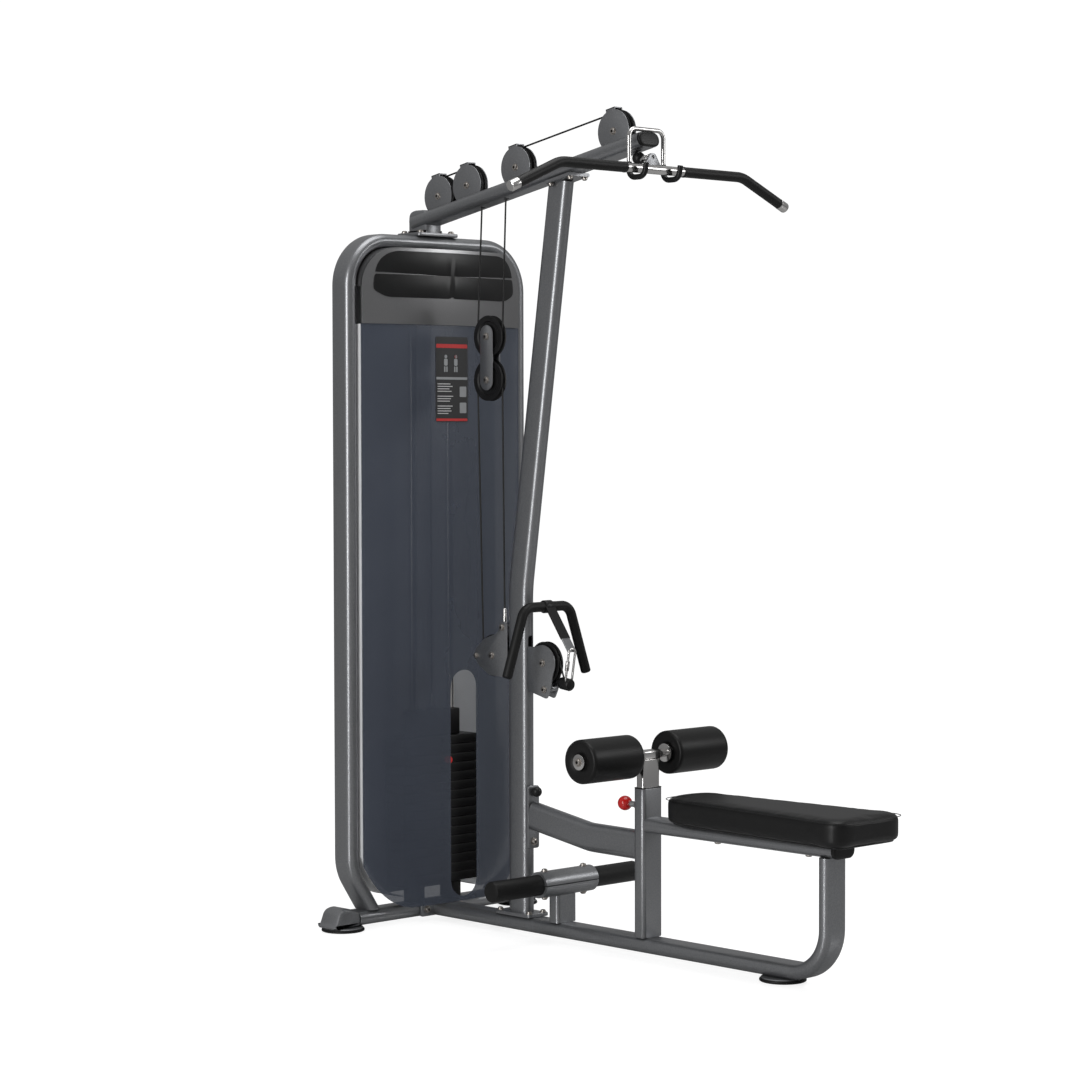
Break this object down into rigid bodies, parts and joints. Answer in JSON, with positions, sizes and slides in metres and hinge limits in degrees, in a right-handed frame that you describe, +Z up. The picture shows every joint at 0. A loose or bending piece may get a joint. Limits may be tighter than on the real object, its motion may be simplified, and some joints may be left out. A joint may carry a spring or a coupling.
{
  "type": "lat pulldown machine",
  "caption": "Lat pulldown and low row gym machine with a pin-loaded weight stack, seat, knee rollers, foot bar, lat bar and row handle.",
  "frame": {"origin": "middle of the bounding box on the floor", "axes": "+X from the weight tower towards the seat, +Y across the machine, +Z up"},
  "size_m": [1.722, 1.051, 2.27],
  "materials": {
    "frame_paint": "satin metallic powder coat",
    "chrome": "polished",
    "black_plastic": "moulded",
    "rubber": "matte",
    "shroud": "smoke blue, translucent, gloss",
    "silver_plastic": "satin moulded",
    "upholstery": "black vinyl, fine grain",
    "foam": "closed-cell foam sleeve",
    "plate_iron": "black enamel",
    "knob_red": "gloss",
    "cable": "black nylon coating over steel cable"
  },
  "bodies": {
    "frame": {"cross_tube": "frame_paint", "foot_casting_left": "frame_paint", "foot_casting_right": "frame_paint", "foot_pad_left": "rubber", "foot_pad_right": "rubber", "foot_pad_front": "rubber", "base_beam": "frame_paint", "tower_loop": "frame_paint", "boom": "frame_paint", "mast_stub": "frame_paint", "upright": "frame_paint", "yoke_brace": "frame_paint", "knee_post": "frame_paint", "post_collar": "black_plastic", "seat_rail": "frame_paint", "seat_pad": "upholstery", "foot_bar": "rubber", "foot_bar_cap": "frame_paint", "foot_bar_clamp": "frame_paint", "foot_bar_post": "frame_paint", "front_shroud": "shroud", "header_shell": "silver_plastic", "rear_cover": "silver_plastic", "guide_rod_left": "chrome", "guide_rod_right": "chrome", "rod_bumper_left": "rubber", "rod_bumper_right": "rubber", "resting_plates": "plate_iron", "pulley_guard_1": "black_plastic", "pulley_guard_2": "black_plastic", "pulley_guard_3": "black_plastic", "pulley_guard_4": "black_plastic", "rear_low_bracket": "frame_paint", "front_low_bracket": "frame_paint", "upper_cable": "cable", "lower_cable": "cable", "bar_holder": "chrome"},
    "cable_drop": {"stack_cable": "cable"},
    "carriage": {"stack_head": "plate_iron", "lifted_plates": "plate_iron"},
    "pin": {"weight_pin": "knob_red"},
    "float_block": {"float_plates": "frame_paint"},
    "lat_pull": {"lat_bar": "chrome", "lat_carabiner": "chrome", "lat_ball_stop": "black_plastic"},
    "row_pull": {"row_handle": "rubber", "row_link": "chrome"},
    "knee_rest": {"inner_post": "chrome", "knee_axle": "chrome"},
    "roller_left": {"knee_roller_left": "foam"},
    "roller_right": {"knee_roller_right": "foam"},
    "lock_pin": {"pop_pin": "knob_red"},
    "upper_pulley_1_body": {"upper_pulley_1": "black_plastic"},
    "upper_pulley_2_body": {"upper_pulley_2": "black_plastic"},
    "upper_pulley_3_body": {"upper_pulley_3": "black_plastic"},
    "upper_pulley_4_body": {"upper_pulley_4": "black_plastic"},
    "float_pulley_upper_body": {"float_pulley_upper": "black_plastic"},
    "float_pulley_lower_body": {"float_pulley_lower": "black_plastic"},
    "rear_low_pulley_body": {"rear_low_pulley": "black_plastic"},
    "front_low_pulley_body": {"front_low_pulley": "black_plastic"}
  },
  "joints": [
    {"name": "lat_pull", "type": "slide", "parent": "frame", "child": "lat_pull", "axis": [0, 0, -1], "range_m": [0, 0.7], "deforming": ["upper_cable"]},
    {"name": "row_pull", "type": "slide", "parent": "frame", "child": "row_pull", "axis": [1, 0, 0], "range_m": [0, 0.45], "deforming": ["lower_cable"]},
    {"name": "drop_row", "type": "slide", "parent": "frame", "child": "cable_drop", "axis": [0, 0, 1], "range_m": [0, 0.451]},
    {"name": "stack_lift", "type": "slide", "parent": "cable_drop", "child": "carriage", "axis": [0, 0, 1], "range_m": [0, 0.701], "deforming": ["stack_cable"]},
    {"name": "weight_pin_pull", "type": "slide", "parent": "carriage", "child": "pin", "axis": [1, 0, 0], "range_m": [0, 0.11]},
    {"name": "float_travel", "type": "slide", "parent": "frame", "child": "float_block", "axis": [0, 0, -1], "range_m": [0, 0.226]},
    {"name": "knee_height", "type": "slide", "parent": "frame", "child": "knee_rest", "axis": [0, 0, 1], "range_m": [-0.05, 0.1]},
    {"name": "lock_pin_pull", "type": "slide", "parent": "frame", "child": "lock_pin", "axis": [-1, 0, 0], "range_m": [0, 0.012], "stiffness_N_per_m": 600, "springref_m": -0.01},
    {"name": "roller_left_spin", "type": "hinge", "parent": "knee_rest", "child": "roller_left", "pos_m": [0.072, 0, 0.541], "axis": [0, 1, 0], "continuous": true},
    {"name": "roller_right_spin", "type": "hinge", "parent": "knee_rest", "child": "roller_right", "pos_m": [0.072, 0, 0.541], "axis": [0, 1, 0], "continuous": true},
    {"name": "upper_pulley_1_spin", "type": "hinge", "parent": "frame", "child": "upper_pulley_1_body", "pos_m": [-0.748, 0, 2.076], "axis": [0, 1, 0], "range_deg": [0, 788.4]},
    {"name": "upper_pulley_2_spin", "type": "hinge", "parent": "frame", "child": "upper_pulley_2_body", "pos_m": [-0.626, 0, 2.099], "axis": [0, 1, 0], "range_deg": [0, 788.4]},
    {"name": "upper_pulley_3_spin", "type": "hinge", "parent": "frame", "child": "upper_pulley_3_body", "pos_m": [-0.425, 0, 2.136], "axis": [0, 1, 0], "range_deg": [0, 788.4]},
    {"name": "upper_pulley_4_spin", "type": "hinge", "parent": "frame", "child": "upper_pulley_4_body", "pos_m": [-0.042, 0, 2.206], "axis": [0, 1, 0], "range_deg": [0, 788.4]},
    {"name": "float_pulley_upper_spin", "type": "hinge", "parent": "float_block", "child": "float_pulley_upper_body", "pos_m": [-0.546, 0, 1.671], "axis": [0, 1, 0], "range_deg": [-788.4, 0]},
    {"name": "float_pulley_lower_spin", "type": "hinge", "parent": "float_block", "child": "float_pulley_lower_body", "pos_m": [-0.546, 0, 1.549], "axis": [0, 1, 0], "range_deg": [-254.8, 0]},
    {"name": "rear_low_pulley_spin", "type": "hinge", "parent": "frame", "child": "rear_low_pulley_body", "pos_m": [-0.525, 0, 0.774], "axis": [0, 1, 0], "range_deg": [-507.6, 0]},
    {"name": "front_low_pulley_spin", "type": "hinge", "parent": "frame", "child": "front_low_pulley_body", "pos_m": [-0.319, 0, 0.764], "axis": [0, 1, 0], "range_deg": [0, 507.6]}
  ],
  "couplings": [
    {"joint": "drop_row", "follows": "row_pull", "ratio": 1},
    {"joint": "stack_lift", "follows": "lat_pull", "ratio": 1},
    {"joint": "float_travel", "follows": "row_pull", "ratio": 0.5},
    {"joint": "upper_pulley_1_spin", "follows": "lat_pull", "rad_per_m": 19.608},
    {"joint": "upper_pulley_2_spin", "follows": "lat_pull", "rad_per_m": 19.608},
    {"joint": "upper_pulley_3_spin", "follows": "lat_pull", "rad_per_m": 19.608},
    {"joint": "upper_pulley_4_spin", "follows": "lat_pull", "rad_per_m": 19.608},
    {"joint": "float_pulley_upper_spin", "follows": "lat_pull", "rad_per_m": -19.608},
    {"joint": "float_pulley_lower_spin", "follows": "row_pull", "rad_per_m": -9.8039},
    {"joint": "rear_low_pulley_spin", "follows": "row_pull", "rad_per_m": -19.608},
    {"joint": "front_low_pulley_spin", "follows": "row_pull", "rad_per_m": 19.608}
  ]
}
